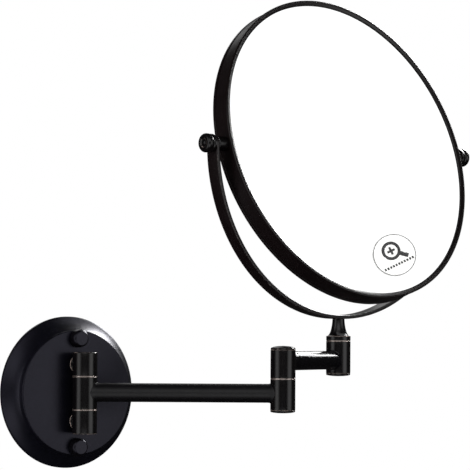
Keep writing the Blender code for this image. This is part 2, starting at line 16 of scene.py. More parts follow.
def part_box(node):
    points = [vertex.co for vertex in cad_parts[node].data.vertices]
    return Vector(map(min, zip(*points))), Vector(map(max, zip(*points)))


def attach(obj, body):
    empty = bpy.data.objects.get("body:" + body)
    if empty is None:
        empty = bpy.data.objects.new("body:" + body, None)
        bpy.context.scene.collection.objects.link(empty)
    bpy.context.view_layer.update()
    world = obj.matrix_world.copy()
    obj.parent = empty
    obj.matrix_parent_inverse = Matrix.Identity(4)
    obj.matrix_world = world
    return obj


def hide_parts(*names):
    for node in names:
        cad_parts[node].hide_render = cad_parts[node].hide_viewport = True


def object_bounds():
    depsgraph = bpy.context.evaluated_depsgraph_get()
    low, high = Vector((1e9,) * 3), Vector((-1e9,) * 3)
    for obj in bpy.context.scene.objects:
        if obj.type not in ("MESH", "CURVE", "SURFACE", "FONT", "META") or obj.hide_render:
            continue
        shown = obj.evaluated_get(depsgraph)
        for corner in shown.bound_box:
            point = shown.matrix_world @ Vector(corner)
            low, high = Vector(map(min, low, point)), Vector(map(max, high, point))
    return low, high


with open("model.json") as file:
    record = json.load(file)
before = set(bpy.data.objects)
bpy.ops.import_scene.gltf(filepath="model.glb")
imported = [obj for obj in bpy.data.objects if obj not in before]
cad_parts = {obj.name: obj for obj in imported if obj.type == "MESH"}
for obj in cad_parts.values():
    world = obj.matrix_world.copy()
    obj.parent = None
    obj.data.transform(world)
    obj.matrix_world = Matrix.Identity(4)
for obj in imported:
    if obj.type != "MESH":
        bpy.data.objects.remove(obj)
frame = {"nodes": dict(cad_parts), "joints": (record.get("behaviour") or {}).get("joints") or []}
CAD_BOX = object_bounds()

# ---- Sizes that the CAD's boxes don't give ----
PLATE_FACE_RADIUS = 0.0394
PLATE_WALL = 0.0012
PLATE_SIDE = 0.0024
SLOPE_HEIGHT = 0.0074
WASHER_BORE = 0.0023
STUB_RADIUS = 0.0048
STUB_COLLAR = 0.0058
ARM_WALL = 0.0013
BORE_RADIUS = 0.0033
RECESS_RADIUS = 0.0054
NUT_RECESS = 0.0072
BOLT_RECESS = 0.0040
FRONT_RECESS = 0.0046
NECK_RADIUS = 0.0038
COLLAR_HEIGHT = 0.0026
FLARE_HEIGHT = 0.0130
YOKE_THICKNESS = 0.0024
YOKE_RISE = 0.0004
SCREW_RECESS = 0.0014
CROSS_SIZE = 0.0018
BEZEL_FALL = 0.0007
LIP_THICKNESS = 0.0004
DRUM_WALL = 0.0010
GLASS_THICKNESS = 0.0030
GLASS_SAG = 0.0040
GAP = 0.0003
SEAM = 0.00024

# ---- Finish of the meshes ----
BIG_STEPS = 256
RING_STEPS = 96
SMALL_STEPS = 48
ARC_POINTS = 5
BARREL_EDGE = 0.0003
BARREL_WEAR = 0.8
SHARP_ANGLE = radians(38)
WORN_TURN = radians(30)

UP = Vector((0, 0, 1))
OUT = Vector((0, -1, 0))
NODES = frame["nodes"]
JOINTS = {joint["name"]: joint for joint in frame["joints"]}


# ---- The frame's axes ----
def axes(origin, up, along):
    """A placement whose Z is up and whose X is as near as it can be to along."""
    z = up.normalized()
    x = (along - z * along.dot(z)).normalized()
    turn = Matrix((x, z.cross(x), z)).transposed()
    return Matrix.Translation(origin) @ turn.to_4x4()


def joint_place(name):
    return Vector(JOINTS[name]["pos_m"])


def flat_normal(node, towards):
    """The direction that a node's widest flat face looks in, on the side of a given direction."""
    widest = max(NODES[node].data.polygons, key=lambda face: face.area)
    normal = widest.normal.copy()
    return normal if normal.dot(towards) > 0 else -normal


HINGE = joint_place("wall_hinge")
ELBOW = joint_place("elbow")
SWIVEL = joint_place("mirror_swivel")
TILT = joint_place("mirror_tilt")
PIVOT = Vector(JOINTS["mirror_tilt"]["axis"]).normalized()
FRONT = flat_normal("plain_glass", OUT)

WALL_AXES = axes(Vector((0, 0, 0)), OUT, Vector((1, 0, 0)))
HINGE_AXES = axes(HINGE, UP, ELBOW - HINGE)
ELBOW_AXES = axes(ELBOW, UP, SWIVEL - ELBOW)
SWIVEL_AXES = axes(SWIVEL, UP, PIVOT)
HEAD_PLACE = (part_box("mirror_rim")[0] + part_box("mirror_rim")[1]) / 2
HEAD_AXES = axes(HEAD_PLACE, FRONT, PIVOT)
REAR_AXES = axes(HEAD_PLACE, -FRONT, PIVOT)


def reach(node, placement):
    """How far a node reaches from a placement's Z axis, and its lowest and highest place along it."""
    back = placement.inverted()
    points = [back @ v.co for v in NODES[node].data.vertices]
    heights = [p.z for p in points]
    return max(hypot(p.x, p.y) for p in points), min(heights), max(heights)


BARREL_RADIUS = reach("elbow_washer", ELBOW_AXES)[0]
PLATE_RADIUS, _, PLATE_DEPTH = reach("wall_plate", WALL_AXES)
DRUM_RADIUS, _, DRUM_HALF = reach("mirror_rim", HEAD_AXES)
GLASS_RADIUS = reach("magnifying_glass", HEAD_AXES)[0]


# ---- Outlines ----
def meridian(node, placement):
    """The outline that a turned CAD node was spun from: (radius, height) points, and whether it closes."""
    back = placement.inverted()
    mesh = bmesh.new()
    mesh.from_mesh(NODES[node].data)
    bmesh.ops.remove_doubles(mesh, verts=mesh.verts, dist=0.000002)
    bmesh.ops.transform(mesh, matrix=back, verts=mesh.verts)
    on_axis = 0.00002
    widest = max(mesh.verts, key=lambda v: hypot(v.co.x, v.co.y))
    bearing = atan2(widest.co.y, widest.co.x)
    half_plane = {}
    for v in mesh.verts:
        radius = hypot(v.co.x, v.co.y)
        if radius < on_axis:
            half_plane[v] = (0.0, v.co.z)
        elif abs((atan2(v.co.y, v.co.x) - bearing + pi) % (2 * pi) - pi) < 0.01:
            half_plane[v] = (radius, v.co.z)
    beside = {}
    for v in half_plane:
        others = [edge.other_vert(v) for edge in v.link_edges]
        beside[v] = [other for other in others if other in half_plane]
    ends = [v for v in half_plane if half_plane[v][0] == 0.0 or len(beside[v]) == 1]
    start = max(ends, key=lambda v: v.co.z) if ends else max(half_plane, key=lambda v: half_plane[v])
    path = [start]
    while True:
        onward = [v for v in beside[path[-1]] if v not in path]
        if not onward:
            break
        path.append(onward[0])
    points = [half_plane[v] for v in path]
    if ends and points[0][0] > 0:
        points.insert(0, (0.0, points[0][1]))
    if ends and points[-1][0] > 0:
        points.append((0.0, points[-1][1]))
    mesh.free()
    return points, not ends


def rounded(points, closed, most):
    """Rounds an outline's corners, up to a given distance along each side, and marks the worn ones.

    Returns (radius, height, wear). A corner is worn where the outline turns outwards sharply.
    """
    count = len(points)
    area = sum(points[i][0] * points[(i + 1) % count][1] - points[(i + 1) % count][0] * points[i][1]
               for i in range(count))
    outline = []
    for i, point in enumerate(points):
        here = Vector(point)
        if not closed and i in (0, count - 1):
            outline.append((here.x, here.y, 0.0))
            continue
        back = Vector(points[i - 1]) - here
        ahead = Vector(points[(i + 1) % count]) - here
        turn = (-back).angle_signed(ahead, 0.0)
        outward = turn * (-area) > 0
        worn = 1.0 if outward and abs(turn) > WORN_TURN else 0.0
        size = min(most, 0.48 * back.length, 0.48 * ahead.length)
        start = here + back.normalized() * size
        end = here + ahead.normalized() * size
        outline += sweep(start, here, end, ARC_POINTS, worn)
    return outline


def arc(centre, radii, start, end, count):
    """Points on an elliptical arc of an outline, angles in degrees from the radial direction."""
    steps = [radians(start + (end - start) * i / (count - 1)) for i in range(count)]
    return [(centre[0] + radii[0] * cos(a), centre[1] + radii[1] * sin(a), 0) for a in steps]


def sweep(start, bend, end, count, wear=0.0):
    """Points on a curve of an outline from start to end, pulled towards bend and most worn halfway."""
    points = []
    for k in range(count):
        t = k / (count - 1)
        place = Vector(start) * (1 - t) ** 2 + Vector(bend) * 2 * t * (1 - t) + Vector(end) * t**2
        points.append((place.x, place.y, wear * 4 * t * (1 - t)))
    return points


def soft_corner(corner, size, towards_start, towards_end, wear):
    """A quarter-round between two sides of an outline, each given as a direction from the corner."""
    here = Vector(corner)
    start = here + Vector(towards_start) * size
    end = here + Vector(towards_end) * size
    return sweep(start, here, end, ARC_POINTS, wear)


# ---- Meshes ----
def link_mesh(name, data, material):
    """Puts a finished mesh in the scene, smooth except at its sharp edges."""
    data.materials.append(material)
    data.shade_smooth()
    data.set_sharp_from_angle(angle=SHARP_ANGLE)
    piece = bpy.data.objects.new(name, data)
    bpy.context.scene.collection.objects.link(piece)
    return piece


def finish_mesh(name, mesh, wear, placement, material):
    """Turns a bmesh drawn in a placement's axes into a shaded piece.

    Every point keeps its wear, and its place in those axes for the materials' patterns.
    """
    bmesh.ops.recalc_face_normals(mesh, faces=mesh.faces)
    data = bpy.data.meshes.new(name)
    mesh.to_mesh(data)
    mesh.free()
    data.attributes.new("wear", "FLOAT", "POINT").data.foreach_set("value", wear)
    places = [value for v in data.vertices for value in v.co]
    data.attributes.new("place", "FLOAT_VECTOR", "POINT").data.foreach_set("vector", places)
    data.transform(placement)
    return link_mesh(name, data, material)


def carve(piece, cutter):
    """Cuts one piece's shape out of another for good, and removes the cutter."""
    boolean = piece.modifiers.new("carve", "BOOLEAN")
    boolean.operation = "DIFFERENCE"
    boolean.solver = "EXACT"
    boolean.object = cutter
    bpy.context.view_layer.update()
    finished = piece.evaluated_get(bpy.context.evaluated_depsgraph_get())
    data = bpy.data.meshes.new_from_object(finished)
    piece.modifiers.clear()
    piece.data = data
    data.set_sharp_from_angle(angle=SHARP_ANGLE)
    bpy.data.objects.remove(cutter)


def spin_into(mesh, wear, outline, closed, steps, shape=None):
    """Adds an outline spun about local Z to a bmesh. shape moves a finished point, given as a vector."""
    rings = []
    for radius, height, worn in outline:
        count = 1 if radius < 1e-6 else steps
        ring = []
        for k in range(count):
            a = 2 * pi * k / steps
            place = Vector((radius * cos(a), radius * sin(a), height))
            ring.append(mesh.verts.new(shape(place) if shape else place))
            wear.append(worn)
        rings.append(ring)
    pairs = list(zip(rings, rings[1:]))
    if closed:
        pairs.append((rings[-1], rings[0]))
    for upper, lower in pairs:
        for k in range(steps):
            corners = [upper[k % len(upper)], upper[(k + 1) % len(upper)]]
            corners += [lower[(k + 1) % len(lower)], lower[k % len(lower)]]
            face = list(dict.fromkeys(corners))
            if len(face) > 2:
                mesh.faces.new(face)


def spin(name, outline, placement, material, steps=RING_STEPS, closed=False, shape=None):
    """A turned piece from an outline of (radius, height, wear) points."""
    mesh = bmesh.new()
    wear = []
    spin_into(mesh, wear, outline, closed, steps, shape)
    return finish_mesh(name, mesh, wear, placement, material)


def turned_copy(node, placement, material, slot, body, steps, most, lift=0.0, worn=1.0):
    """A fine version of a turned CAD node, in its place or lifted a little along its axis.

    Its corners are rounded by up to most, and their wear is worn times the full one.
    """
    points, closed = meridian(node, placement)
    outline = [(r, height + lift, wear * worn) for r, height, wear in rounded(points, closed, most)]
    piece = spin(node + "_turned", outline, placement, material, steps, closed)
    return settle(piece, body, slot, node)


def steel_part(node, placement, body, most):
    """A plated pin, bolt, screw or spring washer."""
    return turned_copy(node, placement, ZINC, "steel", body, SMALL_STEPS, most)


def washer(node, placement, material, slot, body, inner, outwards=0.0, shrink=0.0):
    """A flat ring with faintly broken edges. Outwards is how far its upper face is moved up."""
    radius, low, high = reach(node, placement)
    edge = 0.0001
    outline = soft_corner((radius - shrink, high + outwards), edge, (-1, 0), (0, -1), 0.5)
    outline += soft_corner((radius - shrink, low), edge, (0, 1), (-1, 0), 0.5)
    outline += [(inner, low, 0), (inner, high + outwards, 0)]
    piece = spin(node + "_ring", outline, placement, material, RING_STEPS, True)
    return settle(piece, body, slot, node)


def joint_washer(node, placement, body):
    """One of the thin rubbed rings that show as a line between two barrels."""
    washer(node, placement, COPPER_RING, "rubbed_bronze", body, BORE_RADIUS, shrink=0.0001)


def settle(piece, body, slot, *nodes):
    """Lets a piece ride on its body, in place of the CAD nodes that it stands for, which it hides. The
    slot is not used.
    """
    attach(piece, body)
    if nodes:
        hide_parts(*nodes)
    return piece


# ---- Material graphs ----
def new_material(name):
    material = bpy.data.materials.new(name)
    material.use_nodes = True
    tree = material.node_tree
    return material, tree, tree.nodes["Principled BSDF"]


def add(tree, kind, inputs=None, **settings):
    """Adds a node. An input is a value, or a socket to link from."""
    node = tree.nodes.new(kind)
    for key, value in settings.items():
        setattr(node, key, value)
    for key, value in (inputs or {}).items():
        if isinstance(value, bpy.types.NodeSocket):
            tree.links.new(value, node.inputs[key])
        else:
            node.inputs[key].default_value = value
    return node


def noise(tree, scale, detail, roughness, stretch=(1, 1, 1)):
    """Noise over the place that each point keeps, in cycles per metre, squeezed or stretched by axis."""
    place = add(tree, "ShaderNodeAttribute", attribute_name="place").outputs["Vector"]
    mapped = add(tree, "ShaderNodeMapping", {"Vector": place, "Scale": stretch}).outputs["Vector"]
    inputs = {"Vector": mapped, "Scale": scale, "Detail": detail, "Roughness": roughness}
    return add(tree, "ShaderNodeTexNoise", inputs).outputs["Fac"]


def fit(tree, value, low, high, to_low, to_high, kind="LINEAR"):
    inputs = {"Value": value, "From Min": low, "From Max": high, "To Min": to_low, "To Max": to_high}
    return add(tree, "ShaderNodeMapRange", inputs, interpolation_type=kind).outputs["Result"]


def math(tree, operation, first, second):
    node = add(tree, "ShaderNodeMath", {0: first, 1: second}, operation=operation)
    return node.outputs["Value"]


def blend(tree, factor, first, second):
    """Mixes two colours, each a colour or a socket."""
    node = add(tree, "ShaderNodeMix", data_type="RGBA")
    for index, value in ((0, factor), (6, first), (7, second)):
        if isinstance(value, bpy.types.NodeSocket):
            tree.links.new(value, node.inputs[index])
        else:
            node.inputs[index].default_value = value if index == 0 else (*value, 1.0)
    return node.outputs[2]


def bump(tree, shader, layers):
    """Stacks bumps, given as (height socket, depth in metres), onto the shader's normal."""
    normal = None
    for height, depth in layers:
        inputs = {"Height": height, "Strength": 1.0, "Distance": depth}
        if normal:
            inputs["Normal"] = normal
        normal = add(tree, "ShaderNodeBump", inputs).outputs["Normal"]
    tree.links.new(normal, shader.inputs["Normal"])


def rubbed_coat(name, dark, light, worn_colour, gloss, wear_gain=1.0, marks=(1, 1, 1), grain=1.0):
    """A near-black satin coat over bronze, rubbed through along the worn edges."""
    material, tree, shader = new_material(name)
    mottle = noise(tree, 140, 5, 0.6)
    fine = noise(tree, 2300, 2, 0.5)
    streaks = noise(tree, 900, 3, 0.6, marks)
    wear = add(tree, "ShaderNodeAttribute", attribute_name="wear").outputs["Fac"]
    uneven = fit(tree, noise(tree, 420, 4, 0.65), 0.25, 0.75, -0.30, 0.22)
    rubbed = math(tree, "ADD", math(tree, "MULTIPLY", wear, wear_gain), uneven)
    rubbed = fit(tree, rubbed, 0.38, 0.95, 0.0, 1.0, "SMOOTHSTEP")
    coat = blend(tree, fit(tree, mottle, 0.3, 0.7, 0, 1), dark, light)
    tree.links.new(blend(tree, rubbed, coat, worn_colour), shader.inputs["Base Color"])
    tree.links.new(math(tree, "MULTIPLY", rubbed, 0.85), shader.inputs["Metallic"])
    low, high = gloss
    roughness = fit(tree, streaks, 0.3, 0.7, low, high)
    tree.links.new(roughness, shader.inputs["Roughness"])
    shader.inputs["IOR"].default_value = 1.5
    bump(tree, shader, [(streaks, 0.000004 * grain), (fine, 0.000003 * grain)])
    return material


def bare_metal(name, dark, light, gloss, marks):
    """A bare or plated metal with turning marks and light tarnish."""
    material, tree, shader = new_material(name)
    tarnish = noise(tree, 260, 5, 0.6)
    streaks = noise(tree, 1400, 3, 0.6, marks)
    colour = blend(tree, fit(tree, tarnish, 0.3, 0.7, 0, 1), dark, light)
    tree.links.new(colour, shader.inputs["Base Color"])
    tree.links.new(fit(tree, streaks, 0.3, 0.7, *gloss), shader.inputs["Roughness"])
    shader.inputs["Metallic"].default_value = 1.0
    bump(tree, shader, [(streaks, 0.000005)])
    return material


def moulded(name, dark, light, roughness, grain, depth):
    """A plastic, paper or foam with a fine grain."""
    material, tree, shader = new_material(name)
    cloud = noise(tree, 300, 4, 0.6)
    texture = noise(tree, grain, 3, 0.6)
    colour = blend(tree, fit(tree, cloud, 0.3, 0.7, 0, 1), dark, light)
    tree.links.new(colour, shader.inputs["Base Color"])
    uneven = fit(tree, texture, 0.3, 0.7, roughness - 0.06, roughness + 0.06)
    tree.links.new(uneven, shader.inputs["Roughness"])
    bump(tree, shader, [(texture, depth)])
    return material


def silvered_glass():
    """A clean front-surface mirror, with the faintest cloudiness in its silver."""
    material, tree, shader = new_material("silvered_glass")
    cloud = noise(tree, 24, 3, 0.5)
    colour = blend(tree, fit(tree, cloud, 0.3, 0.7, 0, 1), (0.962, 0.970, 0.972), (0.975, 0.980, 0.980))
    tree.links.new(colour, shader.inputs["Base Color"])
    shader.inputs["Metallic"].default_value = 1.0
    shader.inputs["Roughness"].default_value = 0.0
    return material


DARK_BRONZE = rubbed_coat("dark_bronze_coat", (0.0006, 0.0005, 0.0006), (0.0014, 0.0010, 0.0012),
                          (0.46, 0.37, 0.33), (0.19, 0.27), marks=(1, 1, 6))
NUT_BRONZE = rubbed_coat("nut_bronze_coat", (0.0006, 0.0005, 0.0008), (0.0014, 0.0011, 0.0016),
                         (0.40, 0.32, 0.28), (0.26, 0.32), grain=0.6)
TUBE_COLOURS = ((0.0007, 0.0006, 0.0009), (0.0014, 0.0012, 0.0017), (0.46, 0.37, 0.33))
TUBE_BRONZE = rubbed_coat("tube_bronze_coat", *TUBE_COLOURS, (0.42, 0.48), marks=(6, 6, 1), grain=0.6)
BRIGHT_TUBE = rubbed_coat("bright_tube_coat", *TUBE_COLOURS, (0.20, 0.25), marks=(6, 6, 1), grain=0.3)
RIM_BRONZE = rubbed_coat("rim_bronze_coat", (0.0018, 0.0009, 0.0010), (0.0028, 0.0016, 0.0018),
                         (0.20, 0.17, 0.165), (0.27, 0.32), 0.9, marks=(1, 1, 8), grain=0.2)
PLATE_BRONZE = rubbed_coat("plate_bronze_coat", (0.0008, 0.0008, 0.0015), (0.0015, 0.0014, 0.0027),
                           (0.20, 0.16, 0.15), (0.32, 0.38), 0.5, marks=(1, 1, 4), grain=0.6)
PLATE_TINT = (0.57, 0.56, 0.71, 1.0)
for coat in (PLATE_BRONZE, NUT_BRONZE):
    coat.node_tree.nodes["Principled BSDF"].inputs["Specular Tint"].default_value = PLATE_TINT
COPPER_RING = bare_metal("rubbed_copper_ring", (0.48, 0.42, 0.39), (0.74, 0.67, 0.63),
                         (0.24, 0.36), (1, 1, 5))
ZINC = bare_metal("zinc_plate", (0.46, 0.47, 0.48), (0.62, 0.63, 0.63), (0.26, 0.42), (1, 1, 4))
NYLON = moulded("black_nylon", (0.010, 0.010, 0.011), (0.018, 0.018, 0.019), 0.5, 1800, 0.00001)
FOAM = moulded("grey_foam", (0.20, 0.20, 0.21), (0.32, 0.32, 0.33), 0.85, 1500, 0.0001)
PAPER = moulded("label_paper", (0.90, 0.90, 0.88), (0.95, 0.95, 0.94), 0.45, 1200, 0.000004)
INK = moulded("label_ink", (0.012, 0.012, 0.013), (0.030, 0.030, 0.032), 0.5, 1500, 0.000004)
GLASS = silvered_glass()


# ---- Wall mount ----
def wall_plate():
    """The spun plate: a flat face, a short side wall and a hollow slope out to a low rim."""
    face = PLATE_FACE_RADIUS
    depth = PLATE_DEPTH
    rim = PLATE_RADIUS
    side = PLATE_SIDE
    foot = (rim - 0.0007, side + 0.0003)
    neck = (face, side + SLOPE_HEIGHT)
    bend = (face + 0.0026, side + 0.0031)
    outline = [(0, depth, 0), (face * 0.5, depth, 0)]
    outline += soft_corner((face, depth), 0.0008, (-1, 0), (0, -1), 0.15)
    outline += sweep(neck, bend, foot, 16)
    outline += [(rim - 0.0003, side, 0.1), (rim, side - 0.0003, 0.1)]
    outline += [(rim, 0.0003, 0), (rim - 0.0003, 0, 0)]
    outline += [(rim - PLATE_WALL, 0, 0), (rim - PLATE_WALL, 0.0013, 0)]
    outline += [(rim - 0.0024, side - 0.0004, 0), (bend[0] - 0.0009, bend[1] - 0.0009, 0)]
    outline += [(face - PLATE_WALL, neck[1] - 0.0006, 0)]
    outline += [(face - PLATE_WALL, depth - PLATE_WALL - 0.0008, 0)]
    outline += [(face - PLATE_WALL - 0.0008, depth - PLATE_WALL, 0), (0, depth - PLATE_WALL, 0)]
    plate = spin("wall_plate_spun", outline, WALL_AXES, PLATE_BRONZE, BIG_STEPS)
    settle(plate, "wall_mount", "plate_bronze", "wall_plate")


def circle_points(centre, radius, count):
    steps = [2 * pi * k / count for k in range(count)]
    return [(centre[0] + radius * cos(a), centre[1] + radius * sin(a)) for a in steps]


def pill_points(half_width, half_length, corner, count):
    """A rectangle with rounded corners, as points."""
    points = []
    for quarter in range(4):
        middle = pi / 4 + quarter * pi / 2
        side_x = 1 if cos(middle) > 0 else -1
        side_y = 1 if sin(middle) > 0 else -1
        for k in range(count):
            a = quarter * pi / 2 + (pi / 2) * k / (count - 1)
            points.append((side_x * (half_width - corner) + corner * cos(a),
                           side_y * (half_length - corner) + corner * sin(a)))
    return points


def stamped(name, outer, holes, low, high, edge, placement, material):
    """A flat stamping with holes, from low to high, its edges rounded."""
    curve = bpy.data.curves.new(name, "CURVE")
    curve.dimensions = "2D"
    curve.fill_mode = "BOTH"
    curve.extrude = (high - low) / 2 - edge
    curve.bevel_depth = edge
    curve.bevel_resolution = 2
    curve.offset = -edge
    for points in [outer] + holes:
        spline = curve.splines.new("POLY")
        spline.points.add(len(points) - 1)
        for point, (x, y) in zip(spline.points, points):
            point.co = (x, y, 0, 1)
        spline.use_cyclic_u = True
    source = bpy.data.objects.new(name + "_outline", curve)
    bpy.context.scene.collection.objects.link(source)
    bpy.context.view_layer.update()
    flat = bpy.data.meshes.new_from_object(source.evaluated_get(bpy.context.evaluated_depsgraph_get()))
    bpy.data.objects.remove(source)
    mesh = bmesh.new()
    mesh.from_mesh(flat)
    bmesh.ops.remove_doubles(mesh, verts=mesh.verts, dist=0.000005)
    bmesh.ops.translate(mesh, vec=(0, 0, (low + high) / 2), verts=mesh.verts)
    return finish_mesh(name, mesh, [0.0] * len(mesh.verts), placement, material)


def wall_bracket():
    """The steel bar behind the plate, with its stud seats and wall-screw holes."""
    low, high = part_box("wall_bracket")
    stud_height = (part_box("upper_stud")[0].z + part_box("upper_stud")[1].z) / 2
    stud_hole = 0.0021
    wall_hole = 0.0025
    holes = []
    for side in (-1, 1):
        holes.append(circle_points((0, side * stud_height), stud_hole, 24))
        holes.append(circle_points((0, side * 0.0120), wall_hole, 32))
        holes.append(circle_points((side * 0.0045, side * 0.0225), wall_hole, 32))
    outer = pill_points(high.x, high.z, 0.0040, 10)
    bar = stamped("wall_bracket_bar", outer, holes, 0.0, -low.y, 0.0003, WALL_AXES, ZINC)
    settle(bar, "wall_mount", "steel", "wall_bracket")


def node_axis(node, up, along):
    """The placement through the middle of an upright turned node's box, from the wall or joint plane."""
    low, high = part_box(node)
    middle = (low + high) / 2
    return axes(middle - up * middle.dot(up), up, along)


def cross_recess(piece, placement, height):
    """Cuts the cross for a screwdriver into a screw's head, whose top is at a height."""
    depth = 0.0007
    half = CROSS_SIZE * 0.24
    corners = [(CROSS_SIZE, -half * 0.7), (CROSS_SIZE, half * 0.7), (half, half)]
    outline = []
    for quarter in range(4):
        turn = Matrix.Rotation(quarter * pi / 2, 2)
        outline += [turn @ Vector(corner) for corner in corners]
    mesh = bmesh.new()
    rings = []
    for level, share in ((height + depth, 1.0), (height, 1.0), (height - depth, 0.45)):
        rings.append([mesh.verts.new((p.x * share, p.y * share, level)) for p in outline])
    for upper, lower in zip(rings, rings[1:]):
        for k in range(len(outline)):
            onward = (k + 1) % len(outline)
            mesh.faces.new((upper[k], upper[onward], lower[onward], lower[k]))
    mesh.faces.new(rings[0])
    mesh.faces.new(rings[-1])
    carve(piece, finish_mesh("cross", mesh, [0.0] * len(mesh.verts), placement, ZINC))


def knuckle(word, side):
    """A fixed hinge barrel and the collared stub that holds it off the plate, as one casting."""
    node = f"{word}_knuckle"
    low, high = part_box(node)
    top, bottom = (high.z, low.z) if side > 0 else (-low.z, -high.z)
    placement = axes(HINGE, UP * side, Vector((1, 0, 0)))
    bottom -= GAP
    bore_end = top - 0.0035
    mesh = bmesh.new()
    wear = []
    outline = [(0, top, 0), (BARREL_RADIUS * 0.55, top, 0)]
    outline += soft_corner((BARREL_RADIUS, top), 0.0006, (-1, 0), (0, -1), 0.6)
    outline += soft_corner((BARREL_RADIUS, bottom), BARREL_EDGE, (0, 1), (-1, 0), 0.9)
    outline += [(BORE_RADIUS, bottom, 0), (BORE_RADIUS, bore_end, 0), (0, bore_end, 0)]
    spin_into(mesh, wear, outline, False, RING_STEPS)
    screw_low, screw_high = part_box(f"{word}_knuckle_screw")
    stub_height = (screw_low.z + screw_high.z) / 2
    wall_to_stub = axes(Vector((0, 0, stub_height)), OUT, Vector((1, 0, 0)))
    into = placement.inverted() @ wall_to_stub
    base = PLATE_DEPTH + GAP * 0.5
    end = -HINGE.y - BARREL_RADIUS * 0.72
    stub = [(0, end, 0), (STUB_RADIUS, end, 0), (STUB_RADIUS, base + 0.0013, 0)]
    stub += [(STUB_RADIUS + 0.0002, base + 0.0011, 0.2)]
    stub += soft_corner((STUB_COLLAR, base + 0.0010), 0.0004, (-1, 0), (0, -1), 1.0)
    stub += [(STUB_COLLAR, base, 0), (0, base, 0)]
    spin_into(mesh, wear, stub, False, RING_STEPS, lambda place: into @ place)
    piece = finish_mesh(node + "_cast", mesh, wear, placement, DARK_BRONZE)
    settle(piece, "wall_mount", "dark_bronze", node)


def wall_mount():
    wall_plate()
    wall_bracket()
    body = "wall_mount"
    sideways = Vector((1, 0, 0))
    for word, side in (("upper", 1), ("lower", -1)):
        nut = f"{word}_cap_nut"
        nut_axes = node_axis(nut, OUT, sideways)
        turned_copy(nut, nut_axes, NUT_BRONZE, "dark_bronze", body, RING_STEPS, 0.0017, worn=0.15)
        steel_part(f"{word}_stud", nut_axes, body, 0.0002)
        screw = f"{word}_knuckle_screw"
        screw_axes = node_axis(screw, -OUT, sideways)
        piece = steel_part(screw, screw_axes, body, 0.0005)
        cross_recess(piece, screw_axes, reach(screw, screw_axes)[2])
        knuckle(word, side)
        joint_washer(f"{word}_hinge_washer", HINGE_AXES, body)
    steel_part("hinge_pin", HINGE_AXES, body, 0.0003)


# ---- Arms ----
def arm_tube(node, start, end, body, material):
    """A drawn tube between two barrels, with saddle ends and a thin brazed fillet at each."""
    low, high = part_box(node)
    middle = (low.z + high.z) / 2
    radius = (high.z - low.z) / 2
    along = (end - start).normalized()
    length = (end - start).length
    placement = axes(Vector((start.x, start.y, middle)), along, UP)
    seat = BARREL_RADIUS - 0.0001
    reach_of_saddle = 0.003
    plain_start = seat + 0.004
    plain_length = length - 2 * plain_start
    fillet = [(0.0005, 0.0000), (0.0003, 0.0003), (0.0001, 0.0007), (0, 0.0013)]
    outer = [(radius + grow, seat + off, 0) for grow, off in fillet]
    outer += [(radius, plain_start + plain_length * k / 24, 0) for k in range(25)]
    outer += [(radius + grow, length - seat - off, 0) for grow, off in reversed(fillet)]
    inner = [(radius - ARM_WALL, length - seat, 0), (radius - ARM_WALL, seat, 0)]

    def saddle(place):
        """Slides a point near either end along the tube, so that the end follows its barrel."""
        sideways = min(abs(place.y), BARREL_RADIUS * 0.98)
        drop = BARREL_RADIUS - sqrt(BARREL_RADIUS**2 - sideways**2)
        near = min(place.z - seat, length - seat - place.z)
        share = max(0.0, 1 - near / reach_of_saddle)
        direction = -1 if place.z < length / 2 else 1
        return Vector((place.x, place.y, place.z + direction * drop * share))

    tube = spin(node + "_drawn", outer + inner, placement, material, RING_STEPS, True, saddle)
    settle(tube, body, "dark_bronze", node)


def barrel(node, placement, body, grow, recess_low=0.0, recess_high=0.0):
    """A bored barrel with softly broken edges, recessed where it holds a nut, a bolt head or a cap.

    Grow is how far its two ends reach past the CAD's, to close the seams beside it.
    """
    low, high = (corner.z - placement.translation.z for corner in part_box(node))
    low -= grow[0]
    high += grow[1]
    outline = soft_corner((BARREL_RADIUS, high), BARREL_EDGE, (-1, 0), (0, -1), BARREL_WEAR)
    outline += [(BARREL_RADIUS, high + (low - high) * k / 8, 0) for k in range(1, 8)]
    outline += soft_corner((BARREL_RADIUS, low), BARREL_EDGE, (0, 1), (-1, 0), BARREL_WEAR)
    if recess_low:
        outline += [(RECESS_RADIUS, low, 0), (RECESS_RADIUS, low + recess_low, 0)]
    outline += [(BORE_RADIUS, low + recess_low, 0), (BORE_RADIUS, high - recess_high, 0)]
    if recess_high:
        outline += [(RECESS_RADIUS, high - recess_high, 0), (RECESS_RADIUS, high, 0)]
    piece = spin(node + "_bored", outline, placement, DARK_BRONZE, RING_STEPS, True)
    settle(piece, body, "dark_bronze", node)


def hex_nut(node, placement, body):
    """A hexagon nut, its corners turned off at both ends."""
    radius, low, high = reach(node, placement)
    flat = radius * cos(pi / 6)
    bevel = (radius - flat) * 0.6
    edge = 0.0003
    outline = [(flat, high, 0), (radius, high - bevel, 0), (radius, low + bevel, 0), (flat, low, 0)]
    outline += [(BORE_RADIUS + edge, low, 0), (BORE_RADIUS, low + edge, 0)]
    outline += [(BORE_RADIUS, high - edge, 0), (BORE_RADIUS + edge, high, 0)]

    def hexagon(place):
        """Brings a point in to the nearest of the six flats, if it is outside it."""
        a = atan2(place.y, place.x)
        limit = flat / cos((a % (pi / 3)) - pi / 6)
        share = min(1.0, limit / hypot(place.x, place.y))
        return Vector((place.x * share, place.y * share, place.z))

    nut = spin(node + "_hexagon", outline, placement, ZINC, SMALL_STEPS, True, hexagon)
    settle(nut, body, "steel", node)


def end_cap(node, placement, body, lift, most):
    """The cap on a barrel's end, moved along its axis until it meets the barrel."""
    turned_copy(node, placement, DARK_BRONZE, "dark_bronze", body, RING_STEPS, most, lift, 0.5)


